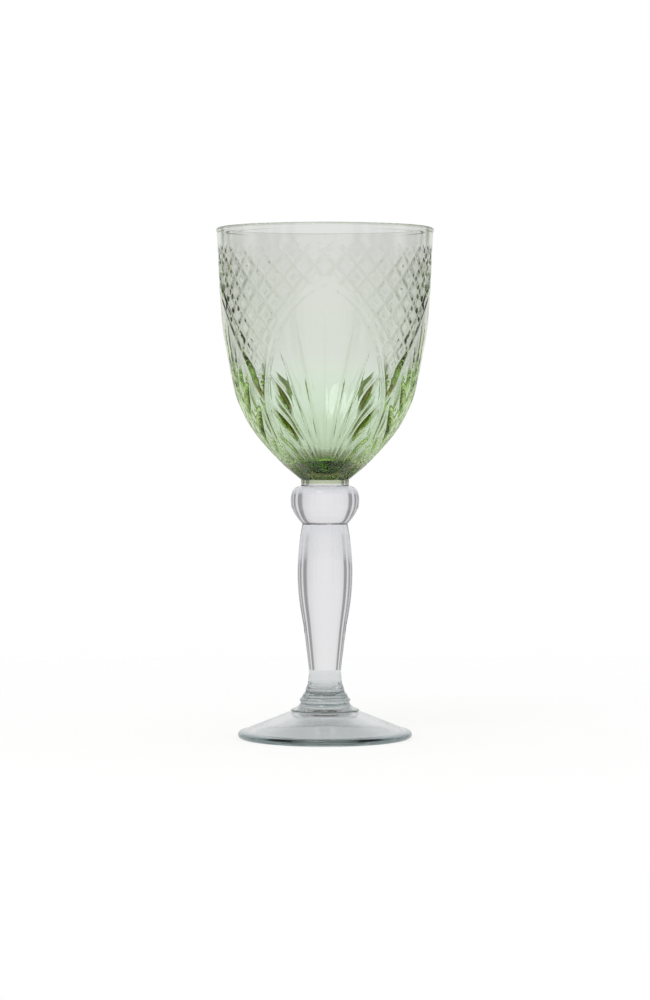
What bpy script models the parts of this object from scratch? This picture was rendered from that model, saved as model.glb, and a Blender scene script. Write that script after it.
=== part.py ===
"""A footed wine glass: a pressed glass bowl on a knopped baluster stem and a low conical foot.

Units are metres and +Z is up. The origin is at the centre of the foot's underside, and every
piece is turned about the Z axis. The pieces are fused to each other, base to top, in the order
foot, foot collar, lower merese, stem, knop, upper merese, bowl. A thin gap is left at each joint.
"""

import math

import bmesh
import bpy

# Driving dimensions
GLASS_HEIGHT = 0.2000
RIM_RADIUS = 0.0426
FOOT_RADIUS = 0.0342
JOINT_GAP = 0.0003

# Height of each joint above the table, at the middle of its gap
FOOT_JOINT = 0.0106
COLLAR_JOINT = 0.0139
LOWER_MERESE_JOINT = 0.0208
KNOP_JOINT = 0.0840
UPPER_MERESE_JOINT = 0.0991
BOWL_JOINT = 0.1013

# Radius of the pieces where they meet
FOOT_JOINT_RADIUS = 0.0132
COLLAR_JOINT_RADIUS = 0.0099
LOWER_MERESE_JOINT_RADIUS = 0.0069
KNOP_JOINT_RADIUS = 0.0089
MERESE_RADIUS = 0.0094

# The bowl
RIM_BEAD_RADIUS = 0.0010
RIM_WALL = 0.0017
BOWL_FLOOR_HEIGHT = 0.1078

# The foot
FOOT_EDGE_RADIUS = 0.0014
STANDING_RING_INNER = 0.0290
KICK_UP_HEIGHT = 0.0089

# How finely the curves are divided
TURN_STEPS = 48
CURVE_STEPS = 2
ARC_STEPS = 5


def smooth_curve(points, steps=CURVE_STEPS):
    """A Catmull-Rom curve through the points, with the given number of steps between two of them."""
    first = tuple(2 * a - b for a, b in zip(points[0], points[1]))
    last = tuple(2 * a - b for a, b in zip(points[-1], points[-2]))
    padded = [first, *points, last]
    curve = [points[0]]
    for p0, p1, p2, p3 in zip(padded, padded[1:], padded[2:], padded[3:]):
        for step in range(1, steps + 1):
            t = step / steps
            curve.append(
                tuple(
                    b
                    + 0.5 * t * (c - a)
                    + t**2 * (a - 2.5 * b + 2 * c - 0.5 * d)
                    + 1.5 * t**3 * (b - c + (d - a) / 3)
                    for a, b, c, d in zip(p0, p1, p2, p3)
                )
            )
    return curve


def arc(centre_radius, centre_height, radius, start, end, steps=ARC_STEPS):
    """Points on a circular arc, from one angle to another in degrees, counted up from +X."""
    points = []
    for step in range(steps + 1):
        angle = math.radians(start + (end - start) * step / steps)
        points.append(
            (
                centre_radius + radius * math.cos(angle),
                centre_height + radius * math.sin(angle),
            )
        )
    return points


def glass_material(name, colour, roughness):
    """A Principled BSDF for clear or coloured glass."""
    material = bpy.data.materials.new(name)
    material.use_nodes = True
    shader = material.node_tree.nodes["Principled BSDF"]
    shader.inputs["Base Color"].default_value = (*colour, 1.0)
    shader.inputs["Roughness"].default_value = roughness
    shader.inputs["Metallic"].default_value = 0.0
    shader.inputs["IOR"].default_value = 1.52
    shader.inputs["Transmission Weight"].default_value = 1.0
    return material


def turned_piece(name, outline, material, parent):
    """One solid of revolution: the outline is turned once about the Z axis.

    The outline is a list of (radius, height). It starts and ends on the axis and runs down the
    piece's outer side, so that the faces point out.
    """
    mesh = bpy.data.meshes.new(name)
    bm = bmesh.new()
    verts = [bm.verts.new((radius, 0.0, height)) for radius, height in outline]
    for start, end in zip(verts, verts[1:]):
        bm.edges.new((start, end))
    bmesh.ops.spin(
        bm,
        geom=bm.verts[:] + bm.edges[:],
        cent=(0.0, 0.0, 0.0),
        axis=(0.0, 0.0, 1.0),
        angle=math.tau,
        steps=TURN_STEPS,
    )
    bmesh.ops.remove_doubles(bm, verts=bm.verts[:], dist=1e-6)
    bmesh.ops.recalc_face_normals(bm, faces=bm.faces[:])
    bm.to_mesh(mesh)
    bm.free()
    mesh.materials.append(material)
    mesh.shade_smooth()
    mesh.set_sharp_from_angle(angle=math.radians(35))
    piece = bpy.data.objects.new(name, mesh)
    bpy.context.scene.collection.objects.link(piece)
    piece.parent = parent
    return piece


def foot_outline():
    """A low cone with a rounded edge, a flat standing ring and a domed kick-up underneath.

    The standing ring lies between STANDING_RING_INNER and the centre of the rounded edge.
    """
    top = FOOT_JOINT - JOINT_GAP / 2
    edge_centre = FOOT_RADIUS - FOOT_EDGE_RADIUS
    cone = smooth_curve(
        [
            (FOOT_JOINT_RADIUS, top),
            (0.0205, 0.0076),
            (0.0275, 0.0048),
            (0.0321, 2 * FOOT_EDGE_RADIUS + 0.0002),
        ]
    )
    edge = arc(edge_centre, FOOT_EDGE_RADIUS, FOOT_EDGE_RADIUS, 60, -90)
    kick_up = smooth_curve(
        [
            (STANDING_RING_INNER, 0.0),
            (0.0230, 0.0028),
            (0.0170, 0.0052),
            (0.0120, 0.0071),
            (0.0070, 0.0084),
            (0.0, KICK_UP_HEIGHT),
        ]
    )
    return [(0.0, top), *cone, *edge, *kick_up]


def foot_collar_outline():
    """The lower of the two rings on the foot: a step that flares out to a crisp lower edge."""
    top = COLLAR_JOINT - JOINT_GAP / 2
    bottom = FOOT_JOINT + JOINT_GAP / 2
    side = smooth_curve(
        [
            (COLLAR_JOINT_RADIUS, top),
            (0.0101, 0.0130),
            (0.0110, 0.0122),
            (0.0123, 0.0115),
            (FOOT_JOINT_RADIUS, bottom),
        ]
    )
    return [(0.0, top), *side, (0.0, bottom)]


def lower_merese_outline():
    """The upper ring: a rounded button that swells below the end of the stem."""
    top = LOWER_MERESE_JOINT - JOINT_GAP / 2
    bottom = COLLAR_JOINT + JOINT_GAP / 2
    side = smooth_curve(
        [
            (LOWER_MERESE_JOINT_RADIUS, top),
            (0.0078, 0.0186),
            (0.0092, 0.0163),
            (0.0100, 0.0150),
            (COLLAR_JOINT_RADIUS, bottom),
        ]
    )
    return [(0.0, top), *side, (0.0, bottom)]


def stem_outline():
    """A baluster: full in its upper part, drawn in to a waist just above the lower merese."""
    top = KNOP_JOINT - JOINT_GAP / 2
    bottom = LOWER_MERESE_JOINT + JOINT_GAP / 2
    side = smooth_curve(
        [
            (KNOP_JOINT_RADIUS, top),
            (0.0098, 0.0785),
            (0.0108, 0.0670),
            (0.0102, 0.0550),
            (0.0083, 0.0425),
            (0.0066, 0.0295),
            (0.0064, 0.0250),
            (LOWER_MERESE_JOINT_RADIUS, bottom),
        ]
    )
    return [(0.0, top), *side, (0.0, bottom)]


def knop_outline():
    """A ball-like swelling with a full shoulder and a lower half that tapers to the stem."""
    top = UPPER_MERESE_JOINT - JOINT_GAP / 2
    bottom = KNOP_JOINT + JOINT_GAP / 2
    side = smooth_curve(
        [
            (MERESE_RADIUS, top),
            (0.0121, 0.0979),
            (0.0132, 0.0958),
            (0.0135, 0.0935),
            (0.0131, 0.0905),
            (0.0112, 0.0870),
            (KNOP_JOINT_RADIUS, bottom),
        ]
    )
    return [(0.0, top), *side, (0.0, bottom)]


def upper_merese_outline():
    """A flat button of glass with a straight side, between the knop and the bowl."""
    top = BOWL_JOINT - JOINT_GAP / 2
    bottom = UPPER_MERESE_JOINT + JOINT_GAP / 2
    return [(0.0, top), (MERESE_RADIUS, top), (MERESE_RADIUS, bottom), (0.0, bottom)]


def bowl_outline():
    """A deep open bowl: a beaded rim, nearly straight sides and a thick, narrowing base."""
    bottom = BOWL_JOINT + JOINT_GAP / 2
    bead_radius = RIM_RADIUS - RIM_BEAD_RADIUS
    bead_height = GLASS_HEIGHT - RIM_BEAD_RADIUS
    inside = smooth_curve(
        [
            (0.0, BOWL_FLOOR_HEIGHT),
            (0.0085, 0.1093),
            (0.0177, 0.1160),
            (0.0266, 0.1274),
            (0.0330, 0.1410),
            (0.0368, 0.1560),
            (0.0390, 0.1740),
            (RIM_RADIUS - 2 * RIM_BEAD_RADIUS, bead_height),
        ]
    )
    rim = arc(bead_radius, bead_height, RIM_BEAD_RADIUS, 160, 0)
    outside = smooth_curve(
        [
            (inside[-1][0] + RIM_WALL, bead_height - 0.0012),
            (0.0419, 0.1870),
            (0.0412, 0.1770),
            (0.0407, 0.1670),
            (0.0387, 0.1530),
            (0.0353, 0.1356),
            (0.0307, 0.1248),
            (0.0239, 0.1154),
            (0.0165, 0.1075),
            (MERESE_RADIUS, bottom),
        ]
    )
    return [*inside, *rim, *outside, (0.0, bottom)]


def build():
    for old in list(bpy.data.objects):
        bpy.data.objects.remove(old)

    wine_glass = bpy.data.objects.new("wine_glass", None)
    bpy.context.scene.collection.objects.link(wine_glass)

    clear_tint = (0.94, 0.95, 0.95)
    pieces = [
        ("foot", foot_outline(), (0.90, 0.93, 0.94)),
        ("foot_collar", foot_collar_outline(), clear_tint),
        ("lower_merese", lower_merese_outline(), clear_tint),
        ("stem", stem_outline(), clear_tint),
        ("knop", knop_outline(), clear_tint),
        ("upper_merese", upper_merese_outline(), clear_tint),
        ("bowl", bowl_outline(), (0.62, 0.82, 0.58)),
    ]
    for name, outline, colour in pieces:
        material = glass_material(name + "_glass", colour, 0.02)
        turned_piece(name, outline, material, wine_glass)


build()
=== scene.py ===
import math

import bpy
import numpy as np
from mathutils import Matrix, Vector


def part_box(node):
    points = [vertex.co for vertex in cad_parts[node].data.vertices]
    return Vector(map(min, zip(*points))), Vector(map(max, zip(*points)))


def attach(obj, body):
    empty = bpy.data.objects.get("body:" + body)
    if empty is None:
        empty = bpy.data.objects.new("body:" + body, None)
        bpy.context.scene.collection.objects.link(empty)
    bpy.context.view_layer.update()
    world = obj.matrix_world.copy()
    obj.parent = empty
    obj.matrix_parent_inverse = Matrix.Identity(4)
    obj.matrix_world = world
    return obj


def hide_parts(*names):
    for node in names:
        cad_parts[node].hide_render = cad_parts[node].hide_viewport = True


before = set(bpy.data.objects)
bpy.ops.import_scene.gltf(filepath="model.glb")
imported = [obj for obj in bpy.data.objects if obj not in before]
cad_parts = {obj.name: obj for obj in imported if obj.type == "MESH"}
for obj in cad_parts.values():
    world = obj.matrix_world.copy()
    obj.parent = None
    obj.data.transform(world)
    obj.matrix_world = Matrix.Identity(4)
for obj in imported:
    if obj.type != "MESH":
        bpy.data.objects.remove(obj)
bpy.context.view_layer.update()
print("frame: the packed wine glass is loaded")

mm = 0.001
jointGap = 0.05 * mm  # fused pieces stop this far short of a joint, too little to see
cadJointGap = 0.15  # and the CAD's pieces this far, in millimetres


def alongCurve(points, steps):
    # span by span, P(t) = P1 + t(P2-P0)/2 + t^2(P0 - 5P1/2 + 2P2 - P3/2)
    # + 3t^3/2 (P1 - P2 + (P3-P0)/3)
    points = np.asarray(points, float)
    padded = np.vstack([2 * points[0] - points[1], points, 2 * points[-1] - points[-2]])
    p0, p1, p2, p3 = (padded[i:len(padded) - 3 + i, None, :] for i in range(4))
    t = (np.arange(steps) / steps)[None, :, None]
    curve = p1 + t * (p2 - p0) / 2 + t**2 * (p0 - 2.5 * p1 + 2 * p2 - p3 / 2)
    curve = curve + 1.5 * t**3 * (p1 - p2 + (p3 - p0) / 3)
    return np.vstack([curve.reshape(-1, points.shape[1]), points[-1]])


def alongArc(centre, radius, start, end, steps):
    # (r, z) = centre + radius (cos a, sin a), a running evenly from start to end in degrees
    a = np.radians(np.linspace(start, end, steps + 1))
    return np.stack([centre[0] + radius * np.cos(a), centre[1] + radius * np.sin(a)], 1)


def evenly(outline, gap):
    # the outline walked again at equal arc lengths of about gap
    length = np.r_[0, np.cumsum(np.hypot(*np.diff(outline, axis=0).T))]
    at = np.linspace(0, length[-1], max(2, int(round(length[-1] / gap)) + 1))
    return np.stack([np.interp(at, length, outline[:, k]) for k in (0, 1)], 1)


def outwards(outline):
    # the unit normal (nr, nz) = (-dz, dr) / |(dr, dz)| of an outline that runs down its outer side
    step = np.gradient(outline, axis=0)
    normal = np.stack([-step[:, 1], step[:, 0]], 1)
    return normal / np.linalg.norm(normal, axis=1)[:, None]


def turnedPiece(name, radius, height, materials, fusedTop=False, fusedBottom=False,
                pressedIn=None):
    # (x, y, z) = (r cos a, r sin a, h) over a grid of outline rows by turns, and one point on the
    # axis closes each end
    rows, turns = radius.shape
    a = 2 * np.pi * np.arange(turns) / turns
    grid = np.stack([radius * np.cos(a), radius * np.sin(a), height], 2).reshape(-1, 3)
    ends = np.array([[0, 0, height[0].mean()], [0, 0, height[-1].mean()]])
    i = np.arange(rows - 1)[:, None] * turns
    j = np.arange(turns)[None, :]
    k = (j + 1) % turns
    quads = np.stack([i + j, i + turns + j, i + turns + k, i + k], 2).reshape(-1, 4)
    j, k, last = j[0], k[0], (rows - 1) * turns
    top = np.stack([np.full(turns, rows * turns), j, k], 1)
    bottom = np.stack([np.full(turns, rows * turns + 1), last + k, last + j], 1)
    loops = np.concatenate([quads.ravel(), top.ravel(), bottom.ravel()]).astype(np.int32)
    sizes = np.r_[np.full(len(quads), 4), np.full(2 * turns, 3)]
    mesh = bpy.data.meshes.new(name)
    mesh.vertices.add(len(grid) + 2)
    mesh.vertices.foreach_set("co", np.vstack([grid, ends]).ravel())
    mesh.loops.add(len(loops))
    mesh.loops.foreach_set("vertex_index", loops)
    mesh.polygons.add(len(sizes))
    mesh.polygons.foreach_set("loop_start", np.r_[0, np.cumsum(sizes)[:-1]].astype(np.int32))
    mesh.update(calc_edges=True)
    for material in materials:
        mesh.materials.append(material)
    slots = np.zeros(len(sizes), np.int32)
    slots[len(quads):len(quads) + turns] = int(fusedTop)
    slots[len(quads) + turns:] = int(fusedBottom)
    mesh.polygons.foreach_set("material_index", slots)
    if pressedIn is not None:
        depths = mesh.attributes.new("pressedIn", "FLOAT", "POINT")
        depths.data.foreach_set("value", np.r_[pressedIn.ravel(), 0, 0].astype(np.float32))
    mesh.shade_smooth()
    mesh.set_sharp_from_angle(angle=math.radians(50))
    piece = bpy.data.objects.new(name, mesh)
    bpy.context.scene.collection.objects.link(piece)
    return piece


def plainTurned(name, outline, turns, materials, **fused):
    # every turn of the outline is the same: r(i, a) = r(i), h(i, a) = z(i)
    ones = np.ones(turns)
    return turnedPiece(name, outline[:, :1] * ones, outline[:, 1:] * ones, materials, **fused)


def hexColour(code):
    # sRGB to linear: c / 12.92 up to 0.04045, and ((c + 0.055) / 1.055)^2.4 above
    c = np.array([int(code[i:i + 2], 16) for i in (0, 2, 4)]) / 255
    linear = np.where(c <= 0.04045, c / 12.92, ((c + 0.055) / 1.055) ** 2.4)
    return (*(float(v) for v in linear), 1.0)


def addNode(tree, kind, settings=None, inputs=None, links=None):
    # one node: settings are its properties, inputs its plain values, links its sockets from others
    node = tree.nodes.new(kind)
    for key, value in (settings or {}).items():
        setattr(node, key, value)
    for key, value in (inputs or {}).items():
        node.inputs[key].default_value = value
    for key, socket in (links or {}).items():
        tree.links.new(socket, node.inputs[key])
    return node


def newTree(name):
    material = bpy.data.materials.new(name)
    material.use_nodes = True
    material.node_tree.nodes.clear()
    return material, material.node_tree


def rampNode(tree, stops, factor):
    # a colour ramp: colour(f) is linear between the (place, colour) stops, f and places from 0 to 1
    ramp = addNode(tree, "ShaderNodeValToRGB", {}, {}, {"Fac": factor})
    elements = ramp.color_ramp.elements
    elements.remove(elements[-1])
    for index, (place, colour) in enumerate(stops):
        element = elements[0] if index == 0 else elements.new(place)
        element.position = place
        element.color = colour
    return ramp


def maths(tree, operation, *values):
    # one Math node: operation(values), each value a number or a socket
    node = addNode(tree, "ShaderNodeMath", {"operation": operation})
    for socket, value in zip(node.inputs, values):
        if isinstance(value, (int, float)):
            socket.default_value = value
        else:
            tree.links.new(value, socket)
    return node.outputs[0]


# How each glass looks. Tints are what one wall lets through at a height, or at a radius, in
# millimetres, and carry painted shade as well as the glass's colour; soaks is what a metre of it takes from
# red, green and blue; wave is the mould's ripple; cutShadeTints, painted shade in the cuts, go from no cut to
# the deepest. Narrow dark stops draw the lines of the tooling rings as painted shade.
glassLooks = {
    # painted shade: the dark olive towards the bowl's thick base, below 109.5 mm, stands in for the light the thick
    # glass loses
    "green": {"tints": [(101.4, "4f4d28"), (104.3, "6e6a50"), (107.0, "a09a94"), (109.5, "e9f1ec"),
                        (133.0, "f8ffff"), (150.0, "f8f9fa"), (199.0, "f6f6f8")],
              "roughness": 0.0, "waveMm": 5.0, "waveDepthMm": 0.010, "soaks": (9.5, 2.0, 27.0),
              # painted shade in the cuts: faint for the diamonds, dark olive for the deep almonds and the moat
              "cutShadeTints": [(0.0, "ffffff"), (0.1, "eff2e9"), (0.3, "e6eadb"), (0.65, "6c6e18"), (1.0, "1e2001")]},
    # painted shade: dark lines in the tooling rings' valleys and at the collar's lower edge, and a greyer band
    # below 20.6 mm; towards the bowl it turns greener and darker
    "clear": {"tints": [(10.6, "1c2422"), (11.0, "4c5a55"), (11.4, "dce1e1"), (13.4, "dce1e1"),
                        (13.85, "36423e"), (14.3, "dce1e1"), (15.7, "dce1e1"), (16.1, "3f4c48"),
                        (16.5, "dce1e1"), (17.8, "dce1e1"), (18.35, "26302d"), (18.9, "dce1e1"),
                        (20.6, "dadfe0"), (22.0, "fafafb"), (99.2, "f8f7fb"), (100.0, "d5dec6"), (101.4, "a9b78c")],
              "roughness": 0.0, "waveMm": 7.0, "waveDepthMm": 0.006},
    # painted shade: darker teal towards the foot's rim
    "foot": {"tints": [(0.0, "f0f2f3"), (31.4, "eef0f1"), (32.6, "b0bebf"), (34.2, "7b8f90")],
             "tintsAlong": "radius", "roughness": 0.035, "waveMm": 9.0, "waveDepthMm": 0.012},
    "ior": 1.52,
    "straightThrough": "f6f6f6",
}


def glassMaterial(name, look):
    # Soda-lime glass, pressed and fire polished: it bends what is behind it, mirrors a little, and
    # its skin keeps a faint ripple. Light on its way to or from the table passes straight, tinted.
    # Its base colour, by height or radius and by depth of cut, carries painted shade.
    material, tree = newTree(name)
    place = addNode(tree, "ShaderNodeTexCoord")
    ripple = addNode(tree, "ShaderNodeTexNoise", {}, {
        "Scale": 1 / (look["waveMm"] * mm), "Detail": 1.0, "Roughness": 0.4,
    }, {"Vector": place.outputs["Object"]})
    bump = addNode(tree, "ShaderNodeBump", {}, {
        "Strength": 1.0, "Distance": look["waveDepthMm"] * mm,
    }, {"Height": ripple.outputs["Fac"]})
    low, top = look["tints"][0][0] * mm, look["tints"][-1][0] * mm
    split = addNode(tree, "ShaderNodeSeparateXYZ", {}, {}, {"Vector": place.outputs["Object"]})
    along = split.outputs["Z"]
    if look.get("tintsAlong") == "radius":
        # radius = sqrt(x^2 + y^2)
        squares = [maths(tree, "MULTIPLY", split.outputs[k], split.outputs[k]) for k in "XY"]
        along = maths(tree, "SQRT", maths(tree, "ADD", *squares))
    height = addNode(tree, "ShaderNodeMapRange", {}, {"From Min": low, "From Max": top}, {"Value": along})
    stops = [((h * mm - low) / (top - low), hexColour(code)) for h, code in look["tints"]]
    tint = rampNode(tree, stops, height.outputs[0]).outputs["Color"]
    if "cutShadeTints" in look:
        # painted shade in the deep cuts, standing in for the long way that light takes through them:
        # tint = tint by height * painted shade by depth of cut
        cut = addNode(tree, "ShaderNodeAttribute", {"attribute_name": "pressedIn"})
        cutShade = rampNode(tree, [(d, hexColour(code)) for d, code in look["cutShadeTints"]], cut.outputs["Fac"])
        both = addNode(tree, "ShaderNodeMix", {
            "data_type": "RGBA", "blend_type": "MULTIPLY"}, {"Factor": 1.0})
        tree.links.new(tint, both.inputs["A"])
        tree.links.new(cutShade.outputs["Color"], both.inputs["B"])
        tint = both.outputs["Result"]
    glass = addNode(tree, "ShaderNodeBsdfPrincipled", {}, {
        "Roughness": look["roughness"], "IOR": glassLooks["ior"], "Transmission Weight": 1.0,
    }, {"Normal": bump.outputs["Normal"], "Base Color": tint})
    path = addNode(tree, "ShaderNodeLightPath")
    straight = maths(tree, "MAXIMUM", path.outputs["Is Shadow Ray"], path.outputs["Is Diffuse Ray"])
    letThrough = addNode(tree, "ShaderNodeBsdfTransparent", {}, {
        "Color": hexColour(glassLooks["straightThrough"])})
    mix = addNode(tree, "ShaderNodeMixShader")
    tree.links.new(straight, mix.inputs[0])
    tree.links.new(glass.outputs[0], mix.inputs[1])
    tree.links.new(letThrough.outputs[0], mix.inputs[2])
    out = addNode(tree, "ShaderNodeOutputMaterial", {}, {}, {"Surface": mix.outputs[0]})
    if "soaks" in look:
        # colour = 1 - soaked / density, so that a metre of glass takes away exactly what is stated
        density = max(look["soaks"]) * 1.05
        kept = [1 - s / density for s in look["soaks"]]
        soak = addNode(tree, "ShaderNodeVolumeAbsorption", {}, {
            "Color": (*kept, 1.0), "Density": density,
        })
        tree.links.new(soak.outputs[0], out.inputs["Volume"])
    return material


def fusedMaterial():
    # Fused joint: two hot gathers become one glass, so nothing is seen where they meet
    material, tree = newTree("fusedGlassJoint")
    clear = addNode(tree, "ShaderNodeBsdfTransparent", {}, {"Color": (1, 1, 1, 1)})
    addNode(tree, "ShaderNodeOutputMaterial", {}, {}, {"Surface": clear.outputs[0]})
    return material


def seamMaterial(look):
    # Joint under the pressed bowl, with painted shade on it. Its dark patches, foldMm across, are painted
    # in for the folded dark image that the thick base shows: light = ramp(noise(position / foldMm))
    material, tree = newTree("bowlSeamPaintedShade")
    place = addNode(tree, "ShaderNodeTexCoord")
    folds = addNode(tree, "ShaderNodeTexNoise", {}, {
        "Scale": 1 / (look["foldMm"] * mm), "Detail": 2.0, "Roughness": 0.5, "Distortion": 0.6,
    }, {"Vector": place.outputs["Object"]})
    shade = rampNode(tree, [(p, hexColour(code)) for p, code in look["folds"]], folds.outputs["Fac"])
    clear = addNode(tree, "ShaderNodeBsdfTransparent", {}, {}, {"Color": shade.outputs["Color"]})
    addNode(tree, "ShaderNodeOutputMaterial", {}, {}, {"Surface": clear.outputs[0]})
    return material


# painted shade under the bowl: dark folds across the joint
seamLook = {"foldMm": 2.4, "folds": [(0.36, "5e4a52"), (0.5, "8f7d85"), (0.64, "e6dfe2")]}
greenGlass = glassMaterial("pressedGreenGlass", glassLooks["green"])
clearGlass = glassMaterial("firePolishedClearGlass", glassLooks["clear"])
footGlass = glassMaterial("firePolishedFootGlass", glassLooks["foot"])
fusedJoint = fusedMaterial()
bowlSeamShade = seamMaterial(seamLook)
print("materials: three glasses, the fused joint and the seam under the bowl")


# The bowl. Heights are in millimetres above its base, angles in degrees from an arch's middle.
bowlShape = {
    "outside": [(42.3, 97.0), (42.0, 92.0), (41.75, 86.0), (41.45, 79.0), (40.95, 70.0),
                (40.1, 59.5), (38.75, 51.5), (36.45, 39.5), (35.0, 33.0), (32.3, 26.5),
                (28.9, 20.3), (23.9, 13.9), (16.5, 6.0), (9.4, 0.0)],
    "inside": [(0.5, 6.4), (8.5, 7.8), (17.7, 14.5), (26.6, 25.9), (33.0, 39.5),
               (36.8, 54.5), (39.0, 72.5), (40.6, 97.5)],
    "rimBead": 1.0,
    "turns": 512,
    "insideGap": 7.0,
    "lowerGap": 0.76,
    "diamondsAround": 32,
    "diamondTall": 9.35,
    "diamondTop": 96.3,
    "diamondDepth": 0.55,
    "grooveWide": 1.5,
    "diamondSteps": 16,
    "lobeDepth": 0.9,
    "archLine": [(0.0, 75.4), (9.7, 71.5), (15.3, 68.0), (20.8, 63.5), (25.3, 59.0), (29.2, 54.5),
                 (32.4, 50.0), (35.2, 45.5), (37.8, 40.5), (40.0, 35.5), (42.0, 30.5), (43.3, 26.0),
                 (43.3, 20.5), (41.5, 16.0), (37.0, 11.5), (31.5, 7.5), (25.0, 3.5)],
    "bandHigh": 0.26,
    "bandWide": 1.15,
    "moatDeep": 0.14,
    "moatExtra": 1.5,
    "moatAt": 2.1,
    "moatWide": 1.0,
    "diamondsOffArch": (2.0, 0.8),  # start this far from an arch's line, fade in over
    "diamondsOffRim": (3.0, 5.0, 15.0, 0.06),  # bare, fade in over, full depth after, least share
    "moatExtraAt": (36.0, 16.0),  # middle and half height
    "edgeFades": (66.0, 14.0),  # band and moat fade up to this height, over
    "edgeKept": (0.4, 0.2),  # share of the band and of the moat kept above it
    "fanOffArch": (1.0, 0.5),
    "fanFoot": (3.5, 4.0),
    "fluteTip": 9.0,
    "fluteRound": 0.3,
    "lobeAt": (30.0, 30.0),
    "footFade": 1.5,
    "fanFrom": -6.5,
    "cutScale": 1.6,
    # each flute: middle as degrees per millimetre above fanFrom, slopes of its two sides, depth of its
    # tail, height of its tip, and the depth, middle and half height of the almond cut over it
    "flutes": [(0.0, 0.15, 0.15, 0.07, 64.0, 0.0, 40.0, 9.0),
               (0.24, 0.25, 0.25, 0.20, 61.5, 0.0, 40.0, 9.0),
               (0.465, 0.30, 0.30, 0.20, 52.0, 0.0, 42.0, 9.0),
               (0.74, 0.95, 1.6, 0.30, 45.0, 1.8, 32.0, 8.5),
               (1.125, 1.3, 2.0, 0.30, 31.0, 2.3, 21.5, 9.0),
               (1.75, 0.8, 1.0, 0.25, 20.0, 0.8, 14.0, 5.0)],
}


def bump01(x):
    # 1 at x = 0, falling as (1 - x^2)^2 to 0 at x = 1 and beyond
    return np.clip(1 - x**2, 0, None) ** 2


def ramp01(x):
    # 3x^2 - 2x^3 between 0 and 1, held outside them
    x = np.clip(x, 0, 1)
    return x * x * (3 - 2 * x)


def pressedRelief(angle, high, radius, shape):
    # millimetres out of the smooth wall = lobes + (diamonds and moat outside an arch) + border band
    # + (fan flutes inside it). angle is folded to 0..45 degrees from the nearest arch's middle.
    line = alongCurve(shape["archLine"], 6)
    order = np.argsort(line[:, 1])
    edge = np.interp(high, line[order, 1], line[order, 0])
    above = high - line[order, 1][-1]
    slope = np.gradient(line[order, 0], line[order, 1])
    lean = np.interp(high, line[order, 1], slope)
    edge = np.where(above > 0, above * slope[-3], edge)
    perDegree = np.pi / 180 * radius
    outside = (angle - edge) * perDegree / np.sqrt(1 + (lean * perDegree) ** 2)
    # diamonds: two families of V grooves cross, -depth (1 - d / width)^1.5 at a distance d from the
    # nearest groove, and leave flat lozenges
    step = 360 / shape["diamondsAround"]
    across = angle / step
    up = (shape["diamondTop"] - high) / shape["diamondTall"]
    apart = 1 / np.hypot(1 / (step * perDegree), 1 / shape["diamondTall"])
    one = np.abs((across + up + 0.5) % 1 - 0.5) * apart
    two = np.abs((across - up + 0.5) % 1 - 0.5) * apart
    near = np.clip(1 - np.minimum(one, two) / shape["grooveWide"], 0, 1)
    diamonds = -shape["diamondDepth"] * near**1.5
    down = shape["diamondTop"] - high
    bare, fadeIn, fullAfter, least = shape["diamondsOffRim"]
    clear, clearFade = shape["diamondsOffArch"]
    diamonds = diamonds * ramp01((outside - clear) / clearFade)
    diamonds = diamonds * (least + (1 - least) * ramp01(down / fullAfter))
    diamonds = diamonds * ramp01((down - bare) / fadeIn)
    # border band and the moat outside it
    ends, over = shape["edgeFades"]
    bandKept, moatKept = shape["edgeKept"]
    lowDown = ramp01((ends - high) / over)
    band = shape["bandHigh"] * bump01(outside / shape["bandWide"])
    band = band * (bandKept + (1 - bandKept) * lowDown)
    extraMiddle, extraHalf = shape["moatExtraAt"]
    deeper = shape["moatDeep"] + shape["moatExtra"] * bump01((high - extraMiddle) / extraHalf)
    deeper = deeper * (moatKept + (1 - moatKept) * lowDown)
    moat = -deeper * bump01((outside - shape["moatAt"]) / shape["moatWide"])
    # fan flutes: V cuts max(0, depth(z) - slope d) at a distance d from each flute's middle line, the
    # slope being steeper on the side away from the arch's middle
    fan = np.zeros_like(high * angle)
    reach = np.maximum(high - shape["fanFrom"], 1)
    rounded = shape["fluteRound"]
    fanFoot, fanFootOver = shape["fanFoot"]
    for middle, near, far, tail, tip, almond, centre, half in shape["flutes"]:
        away = (angle - middle * reach) * perDegree
        climb = np.where(away < 0, near, far) * (np.hypot(away, rounded) - rounded)
        deep = tail * np.clip((tip - high) / shape["fluteTip"], 0, 1) ** 0.6
        deep = deep * ramp01((high - fanFoot) / fanFootOver)
        deep = deep + almond * bump01((high - centre) / half)
        fan = np.maximum(fan, deep - climb)
    fanClear, fanFade = shape["fanOffArch"]
    fan = -fan * ramp01((-outside - fanClear) / fanFade)
    lobeMiddle, lobeHalf = shape["lobeAt"]
    lobe = -shape["lobeDepth"] * (1 - np.cos(np.radians(4 * angle))) / 2
    lobe = lobe * bump01((high - lobeMiddle) / lobeHalf)
    # how far the mould has cut in, from 0 to 1 at cutScale millimetres; it sets how much painted shade the cuts get
    pressedIn = np.clip(-(0.3 * diamonds + moat + fan) / shape["cutScale"], 0, 1)
    return lobe + diamonds + band + moat + fan, pressedIn


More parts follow.
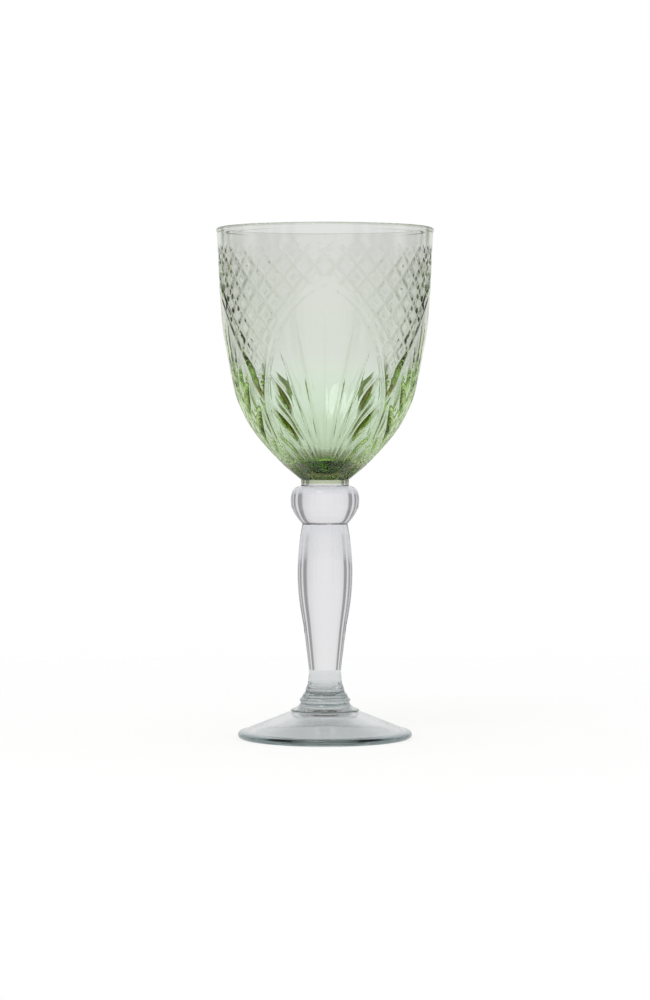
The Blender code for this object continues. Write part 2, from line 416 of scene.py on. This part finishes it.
def makeBowl(shape):
    low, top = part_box("bowl")
    bead = shape["rimBead"]
    tall = (top.z - low.z) / mm
    rim = top.x / mm
    turns = shape["turns"]
    outside = alongCurve(shape["outside"], 8)
    lattice = shape["diamondTall"] / shape["diamondSteps"]
    fine = np.arange(shape["diamondTop"], 29.5, -lattice)
    upper = np.stack([np.interp(fine, outside[::-1, 1], outside[::-1, 0]), fine], 1)
    under = np.vstack([upper[-1], outside[outside[:, 1] < fine[-1] - 0.05]])
    lower = evenly(under, shape["lowerGap"])[1:]
    beadArc = alongArc((rim - bead, tall - bead), bead, 170, -50, 11)
    inside = evenly(alongCurve(shape["inside"], 8), shape["insideGap"])
    outline = np.vstack([inside, beadArc, upper, lower])
    firstOut = len(inside) + len(beadArc)
    angle = 360 * np.arange(turns) / turns + 90
    folded = np.abs((angle + 45) % 90 - 45)[None, :]
    radius, high = outline[:, :1], outline[:, 1:]
    relief, pressedIn = pressedRelief(folded, high, radius, shape)
    relief[:firstOut] = 0
    pressedIn[:firstOut] = 0
    relief = relief * ramp01(high / shape["footFade"])
    normal = outwards(outline)
    r = radius + relief * normal[:, :1]
    z = high + relief * normal[:, 1:]
    base = low.z / mm - cadJointGap + jointGap / mm
    # the bottom joint takes the painted shade of dark folds
    piece = turnedPiece("bowlGlass", r * mm, (z + base) * mm, [greenGlass, bowlSeamShade], fusedBottom=True,
                        pressedIn=pressedIn)
    print("bowl:", len(piece.data.polygons), "faces,", len(outline), "rows")
    return piece


# The clear pieces. Each outline is (radius, height) in millimetres above the piece's lower joint.
stemShapes = {
    "upper_merese": [(9.4, 2.1), (9.45, 1.55), (9.4, 1.05), (9.4, 0.0)],
    "knop": [(9.4, 15.0), (10.4, 14.8), (12.1, 13.85), (13.2, 11.75), (13.5, 9.45), (13.1, 6.45),
             (11.3, 3.05), (8.9, 0.0)],
    "stem": [(8.9, 63.1), (9.8, 57.65), (10.8, 46.15), (10.3, 34.65), (8.3, 21.65), (6.6, 8.65),
             (6.35, 4.65), (6.85, 0.0)],
    "lower_merese": [(7.0, 6.8), (7.6, 5.35), (8.3, 3.65), (9.3, 2.15), (9.95, 1.05), (9.8, 0.0)],
    "foot_collar": [(9.8, 3.2), (10.1, 2.35), (11.0, 1.55), (12.3, 0.95), (13.3, 0.5),
                    (13.45, 0.25), (13.2, 0.0)],
}


# Tooling rings left where the stem was joined on: height, depth and half width, in millimetres.
toolRings = [(18.4, 0.34, 1.2), (16.1, 0.30, 1.0), (13.9, 0.30, 0.9)]


def makeStemPiece(node, outline):
    # r = outline's r - sum of depth (1 - |z - height| / halfWidth)^1.5 over the rings: sharp valleys
    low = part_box(node)[0]
    walked = evenly(alongCurve(outline, 12), 0.2)
    walked[:, 1] += low.z / mm - cadJointGap + jointGap / mm
    for height, depth, half in toolRings:
        walked[:, 0] -= depth * np.clip(1 - np.abs(walked[:, 1] - height) / half, 0, 1) ** 1.5
    walked = walked * mm
    piece = plainTurned(node + "Glass", walked, 144, [clearGlass, fusedJoint],
                        fusedTop=True, fusedBottom=True)
    print(node + ":", len(piece.data.polygons), "faces")
    return piece


footShape = {
    "cone": [(13.2, 10.55), (20.5, 7.6), (27.5, 4.8), (32.1, 3.0)],
    "edge": 1.4,
    "kickUp": [(29.0, 0.0), (23.0, 2.8), (17.0, 5.2), (12.0, 7.1), (7.0, 8.4), (0.4, 8.9)],
}


def makeFoot(shape):
    edge = shape["edge"]
    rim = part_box("foot")[1].x / mm
    cone = evenly(alongCurve(shape["cone"], 8), 0.8)
    rounded = alongArc((rim - edge, edge), edge, 60, -90, 12)
    under = evenly(alongCurve(shape["kickUp"], 8), 0.8)
    outline = np.vstack([cone, rounded, under]) * mm
    piece = plainTurned("footGlass", outline, 192, [footGlass, fusedJoint], fusedTop=True)
    print("foot:", len(piece.data.polygons), "faces")
    return piece


pieces = {"bowl": makeBowl(bowlShape)}
for node, outline in stemShapes.items():
    pieces[node] = makeStemPiece(node, outline)
pieces["foot"] = makeFoot(footShape)
for node, piece in pieces.items():
    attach(piece, "root")
    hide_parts(node)
print("pieces:", ", ".join(sorted(pieces)))


# The studio. Azimuths are in degrees from straight behind the glass, towards +X and towards -X.
studio = {
    "cameraAway": 1.2,
    "cameraUp": 0.133,
    "cameraTilt": -1.89,
    "lens": 110.2,
    "floorRadius": 1.2,
    "paperEnds": [(0.25, 0.6), (0.10, 0.5)],
    "floorColour": "f8f8f8",
    # painted shade: the paper as the glass shows it, darker
    "floorShadeThroughGlass": "d8dadb",
    "worldForShade": 1.0,
    "keySize": 0.52,
    "keyPower": 2.0,
    "keyPlace": (-0.35, -0.75, 1.35),
    "keyTurn": (30, 0, -25),
    "rightSide": [(0, 0.83), (16, 0.81), (29, 0.70), (33, 0.28), (40, 0.28), (43, 0.75), (47, 0.75),
                  (50, 0.28), (57, 0.28), (59, 0.7), (61, 0.7), (64, 0.28), (80, 0.28), (84, 0.8),
                  (90, 0.8)],
    "leftSide": [(0, 0.83), (22, 0.81), (31, 0.74), (34, 0.28), (40, 0.28), (43, 0.75), (47, 0.75),
                 (50, 0.28), (57, 0.28), (59, 0.7), (61, 0.7), (64, 0.28), (80, 0.28), (84, 0.8),
                 (90, 0.8)],
    "windowTop": (34, 48),
    "windowBottom": (-89, -80),
    "besideWindow": 0.30,
}


def makeWorld(studio):
    # Glass is shown a lit room behind and before it, with grey flags that draw its outlines:
    # level = dark + (sides - dark) * inside, with sides a ramp over fold = atan(|x| / |y|) in
    # degrees and inside a band of heights
    world = bpy.data.worlds.new("studioWorld")
    bpy.context.scene.world = world
    world.use_nodes = True
    tree = world.node_tree
    tree.nodes.clear()
    direction = addNode(tree, "ShaderNodeTexCoord")
    split = addNode(tree, "ShaderNodeSeparateXYZ", {}, {}, {"Vector": direction.outputs["Generated"]})
    x, y, z = (split.outputs[k] for k in "XYZ")
    fold = maths(tree, "ARCTAN2", maths(tree, "ABSOLUTE", x), maths(tree, "ABSOLUTE", y))
    fold = maths(tree, "DIVIDE", fold, math.pi / 2)
    sides = [rampNode(tree, [(place / 90, (grey, grey, grey, 1)) for place, grey in studio[side]], fold)
             for side in ("leftSide", "rightSide")]
    flags = addNode(tree, "ShaderNodeMix", {"data_type": "RGBA"}, {}, {
        "Factor": maths(tree, "GREATER_THAN", x, 0.0)})
    tree.links.new(sides[0].outputs["Color"], flags.inputs["A"])
    tree.links.new(sides[1].outputs["Color"], flags.inputs["B"])
    tilt = maths(tree, "MULTIPLY", maths(tree, "ARCSINE", z), 180 / math.pi)
    fades = []
    for inner, outer in (studio["windowTop"], studio["windowBottom"][::-1]):
        fades.append(addNode(tree, "ShaderNodeMapRange", {"interpolation_type": "SMOOTHSTEP"}, {
            "From Min": outer, "From Max": inner}, {"Value": tilt}).outputs[0])
    inside = maths(tree, "MULTIPLY", *fades)
    dark = studio["besideWindow"]
    window = addNode(tree, "ShaderNodeMix", {"data_type": "RGBA"}, {}, {"Factor": inside})
    window.inputs["A"].default_value = (dark, dark, dark, 1)
    tree.links.new(flags.outputs["Result"], window.inputs["B"])
    path = addNode(tree, "ShaderNodeLightPath")
    seen = maths(tree, "MAXIMUM", path.outputs["Is Glossy Ray"], path.outputs["Is Transmission Ray"])
    shade = addNode(tree, "ShaderNodeBackground", {}, {
        "Color": (1, 1, 1, 1), "Strength": studio["worldForShade"]})
    flagged = addNode(tree, "ShaderNodeBackground", {}, {"Strength": 1.0}, {
        "Color": window.outputs["Result"]})
    white = addNode(tree, "ShaderNodeBackground", {}, {"Color": (1, 1, 1, 1), "Strength": 1.0})
    first = addNode(tree, "ShaderNodeMixShader", {}, {}, {"Fac": seen})
    tree.links.new(shade.outputs[0], first.inputs[1])
    tree.links.new(flagged.outputs[0], first.inputs[2])
    second = addNode(tree, "ShaderNodeMixShader", {}, {}, {"Fac": path.outputs["Is Camera Ray"]})
    tree.links.new(first.outputs[0], second.inputs[1])
    tree.links.new(white.outputs[0], second.inputs[2])
    addNode(tree, "ShaderNodeOutputWorld", {}, {}, {"Surface": second.outputs[0]})
    print("world: white sweep, and a lit room with grey flags for the glass")


def makeFloor(studio):
    # x = R cos a, y = R sin a: one round sheet, pale, which turns into the white sweep far out.
    # Rays bent by the glass see a darker copy of the paper: painted shade.
    a = 2 * np.pi * np.arange(96) / 96
    ring = np.stack([np.cos(a), np.sin(a), np.zeros(96)], 1) * studio["floorRadius"]
    mesh = bpy.data.meshes.new("studioFloor")
    mesh.from_pydata(ring.tolist(), [], [list(range(96))])
    material, tree = newTree("matPaperSweep")
    place = addNode(tree, "ShaderNodeTexCoord")
    far = addNode(tree, "ShaderNodeVectorMath", {"operation": "LENGTH"}, {}, {0: place.outputs["Object"]})
    beyond = addNode(tree, "ShaderNodeBsdfTransparent", {}, {"Color": (1, 1, 1, 1)})
    path = addNode(tree, "ShaderNodeLightPath")
    bent = maths(tree, "MAXIMUM", path.outputs["Is Glossy Ray"], path.outputs["Is Transmission Ray"])
    # painted shade: a darker paper for rays from the glass
    sheet = addNode(tree, "ShaderNodeMix", {"data_type": "RGBA"}, {}, {"Factor": bent})
    sheet.inputs["A"].default_value = hexColour(studio["floorColour"])
    sheet.inputs["B"].default_value = hexColour(studio["floorShadeThroughGlass"])
    paper = addNode(tree, "ShaderNodeBsdfDiffuse", {}, {}, {"Color": sheet.outputs["Result"]})
    fades = []
    for near, out in studio["paperEnds"]:
        fades.append(addNode(tree, "ShaderNodeMapRange", {"interpolation_type": "SMOOTHSTEP"}, {
            "From Min": near, "From Max": out}, {"Value": far.outputs["Value"]}).outputs[0])
    forGlass = maths(tree, "MULTIPLY", bent, fades[0])
    forCamera = maths(tree, "MULTIPLY", path.outputs["Is Camera Ray"], fades[1])
    share = maths(tree, "ADD", forGlass, forCamera)
    mix = addNode(tree, "ShaderNodeMixShader", {}, {}, {"Fac": share})
    tree.links.new(paper.outputs[0], mix.inputs[1])
    tree.links.new(beyond.outputs[0], mix.inputs[2])
    addNode(tree, "ShaderNodeOutputMaterial", {}, {}, {"Surface": mix.outputs[0]})
    mesh.materials.append(material)
    floor = bpy.data.objects.new("studioFloor", mesh)
    bpy.context.scene.collection.objects.link(floor)
    print("floor: pale sheet")


def makeLamps(studio):
    lamp = bpy.data.lights.new("keySoftbox", "AREA")
    lamp.shape = "DISK"
    lamp.size = studio["keySize"]
    lamp.energy = studio["keyPower"]
    key = bpy.data.objects.new("keySoftbox", lamp)
    key.location = studio["keyPlace"]
    key.rotation_euler = [math.radians(turn) for turn in studio["keyTurn"]]
    key.visible_camera = False
    bpy.context.scene.collection.objects.link(key)
    print("lamps: one overhead softbox")


def makeCamera(studio):
    lens = bpy.data.cameras.new("camera")
    lens.lens = studio["lens"]
    lens.sensor_width = 36
    camera = bpy.data.objects.new("camera", lens)
    camera.location = (0, -studio["cameraAway"], studio["cameraUp"])
    camera.rotation_euler = (math.radians(90 + studio["cameraTilt"]), 0, 0)
    bpy.context.scene.collection.objects.link(camera)
    bpy.context.scene.camera = camera
    print("camera: level with the bowl's lower half")


makeWorld(studio)
makeFloor(studio)
makeLamps(studio)
makeCamera(studio)

scene = bpy.context.scene
scene.view_settings.view_transform = "Standard"
scene.cycles.max_bounces = 32
scene.cycles.transmission_bounces = 28
scene.cycles.glossy_bounces = 10
scene.cycles.transparent_max_bounces = 32
scene.cycles.caustics_reflective = False
scene.cycles.caustics_refractive = False
